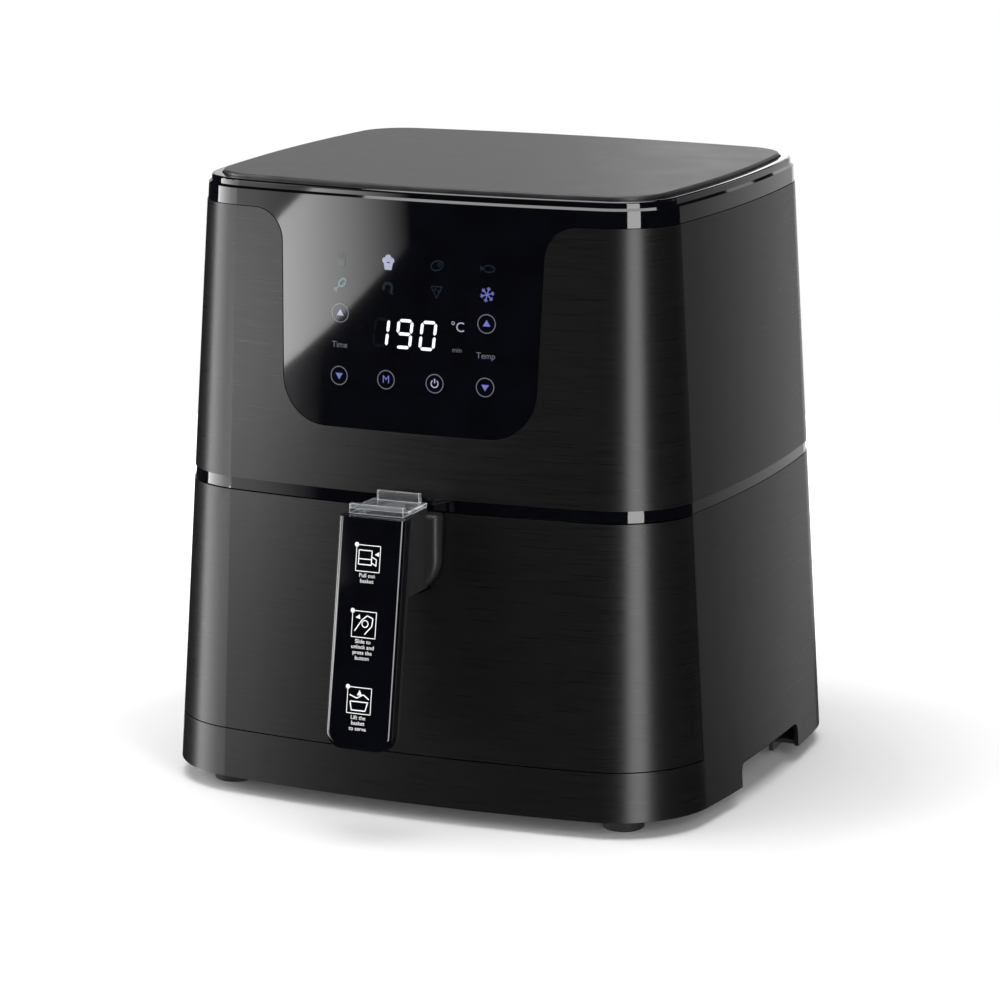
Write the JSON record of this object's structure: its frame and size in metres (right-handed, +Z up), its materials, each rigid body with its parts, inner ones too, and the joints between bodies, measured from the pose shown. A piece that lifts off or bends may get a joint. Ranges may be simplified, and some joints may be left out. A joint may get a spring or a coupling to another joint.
{
  "type": "air fryer",
  "caption": "Countertop air fryer with a tapered brushed housing, glossy touch fascia, and a slide-out pan with a basket, handle and guarded release button.",
  "frame": {"origin": "floor level under the middle of the overall outline, handle included", "axes": "+Z up, -Y towards the front with the handle, +X to the right as seen from the front"},
  "size_m": [0.3072, 0.3224, 0.325],
  "materials": {
    "brushed_shell": "brushed",
    "gloss_black": "polished",
    "satin_grey": "satin",
    "black_plastic": "matte",
    "rubber_black": "matte",
    "zinc_steel": "zinc plated",
    "liner_steel": "mill finish",
    "nonstick": "non-stick coating",
    "element_steel": "heat darkened",
    "runner_grey": "satin",
    "ceramic_white": "glazed",
    "motor_iron": "laminated",
    "circuit_board": "solder mask",
    "display_dark": "gloss",
    "clear_plastic": "clear",
    "button_grey": "satin"
  },
  "bodies": {
    "housing": {"lower_shell": "brushed_shell", "base_tray": "black_plastic", "rubber_feet": "rubber_black", "base_screws": "zinc_steel", "trim_ring": "gloss_black", "upper_shell": "brushed_shell", "control_fascia": "gloss_black", "top_rim": "gloss_black", "top_panel": "satin_grey", "rear_grille": "black_plastic", "exhaust_duct": "black_plastic", "cavity_liner": "liner_steel", "front_frame": "black_plastic", "pan_runners": "runner_grey", "air_dome": "liner_steel", "element_guard": "liner_steel", "heating_element": "element_steel", "element_collars": "ceramic_white", "motor_bracket": "zinc_steel", "motor_frame": "motor_iron", "stator_stack": "motor_iron", "control_board": "circuit_board", "display_module": "display_dark", "touch_pads": "display_dark", "power_board": "circuit_board", "temperature_probe": "liner_steel", "thermal_cutout": "black_plastic", "interlock_switch": "black_plastic", "cord_gland": "rubber_black"},
    "drawer": {"drawer_front": "brushed_shell", "drawer_back": "black_plastic", "notch_bezel": "gloss_black", "pan": "nonstick", "pan_rivets": "zinc_steel", "basket": "nonstick", "basket_grate": "nonstick", "basket_bracket": "nonstick", "handle_neck": "black_plastic", "handle_back": "black_plastic", "handle_front": "gloss_black", "handle_screws": "zinc_steel", "release_spring": "zinc_steel"},
    "guard": {"release_guard": "clear_plastic"},
    "button": {"release_button": "button_grey"},
    "latch": {"latch_bolt": "runner_grey"},
    "rotor": {"motor_shaft": "zinc_steel", "convection_fan": "liner_steel", "cooling_fan": "black_plastic", "fan_nut": "zinc_steel"},
    "plunger": {"switch_plunger": "runner_grey"}
  },
  "joints": [
    {"name": "drawer_slide", "type": "slide", "parent": "housing", "child": "drawer", "axis": [0, -1, 0], "range_m": [0, 0.25]},
    {"name": "guard_slide", "type": "slide", "parent": "drawer", "child": "guard", "axis": [0, -1, 0], "range_m": [0, 0.014]},
    {"name": "button_press", "type": "slide", "parent": "drawer", "child": "button", "axis": [0, 0, -1], "range_m": [0, 0.0035], "stiffness_N_per_m": 500, "springref_m": -0.003, "deforming": ["release_spring"]},
    {"name": "latch_slide", "type": "slide", "parent": "drawer", "child": "latch", "axis": [0, -1, 0], "range_m": [0, 0.0035]},
    {"name": "fan_spin", "type": "hinge", "parent": "housing", "child": "rotor", "pos_m": [0, 0.02204, 0.2362], "axis": [0, 0, 1], "continuous": true},
    {"name": "plunger_press", "type": "slide", "parent": "housing", "child": "plunger", "axis": [0, 1, 0], "range_m": [0, 0.0008], "stiffness_N_per_m": 400, "springref_m": -0.0015}
  ],
  "couplings": [
    {"joint": "latch_slide", "follows": "button_press", "ratio": 1}
  ]
}
